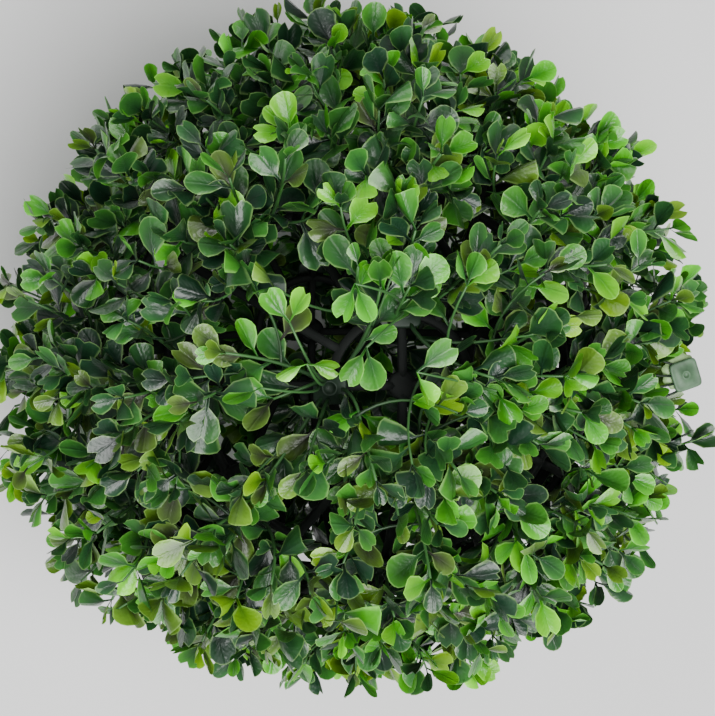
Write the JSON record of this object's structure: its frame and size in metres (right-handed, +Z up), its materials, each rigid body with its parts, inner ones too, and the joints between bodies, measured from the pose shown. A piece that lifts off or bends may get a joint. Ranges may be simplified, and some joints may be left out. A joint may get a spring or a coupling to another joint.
{
  "type": "artificial box topiary ball",
  "caption": "Round ball of artificial box foliage: leafy sprays plugged all round a hollow lattice frame, on a short post.",
  "frame": {"origin": "middle of the flat cut under the short post, at ground level", "axes": "+Z up through the middle of the ball, +X through a spray on each ring"},
  "size_m": [0.2966, 0.2906, 0.2977],
  "materials": {
    "leaf_dark": "glossy moulded leaf, dark green",
    "leaf_mid": "glossy moulded leaf, mid green",
    "leaf_bright": "glossy moulded leaf, bright green",
    "leaf_olive": "glossy moulded leaf, olive green",
    "frame": "matt dark green moulding",
    "post": "matt dark green moulding"
  },
  "bodies": {
    "root": {"frame_upper": "frame", "frame_lower": "frame", "stem": "post", "spray_top_01": "leaf_dark", "spray_top_02": "leaf_mid", "spray_top_03": "leaf_bright", "spray_top_04": "leaf_olive", "spray_high_01": "leaf_dark", "spray_high_02": "leaf_mid", "spray_high_03": "leaf_bright", "spray_high_04": "leaf_olive", "spray_high_05": "leaf_dark", "spray_high_06": "leaf_mid", "spray_high_07": "leaf_bright", "spray_high_08": "leaf_olive", "spray_upper_01": "leaf_dark", "spray_upper_02": "leaf_mid", "spray_upper_03": "leaf_bright", "spray_upper_04": "leaf_olive", "spray_upper_05": "leaf_dark", "spray_upper_06": "leaf_mid", "spray_upper_07": "leaf_bright", "spray_upper_08": "leaf_olive", "spray_upper_09": "leaf_dark", "spray_upper_10": "leaf_mid", "spray_upper_11": "leaf_bright", "spray_upper_12": "leaf_olive", "spray_bottom_01": "leaf_dark", "spray_bottom_02": "leaf_mid", "spray_bottom_03": "leaf_bright", "spray_bottom_04": "leaf_olive", "spray_low_01": "leaf_dark", "spray_low_02": "leaf_mid", "spray_low_03": "leaf_bright", "spray_low_04": "leaf_olive", "spray_low_05": "leaf_dark", "spray_low_06": "leaf_mid", "spray_low_07": "leaf_bright", "spray_low_08": "leaf_olive", "spray_lower_01": "leaf_dark", "spray_lower_02": "leaf_mid", "spray_lower_03": "leaf_bright", "spray_lower_04": "leaf_olive", "spray_lower_05": "leaf_dark", "spray_lower_06": "leaf_mid", "spray_lower_07": "leaf_bright", "spray_lower_08": "leaf_olive", "spray_lower_09": "leaf_dark", "spray_lower_10": "leaf_mid", "spray_lower_11": "leaf_bright", "spray_lower_12": "leaf_olive"}
  },
  "joints": []
}
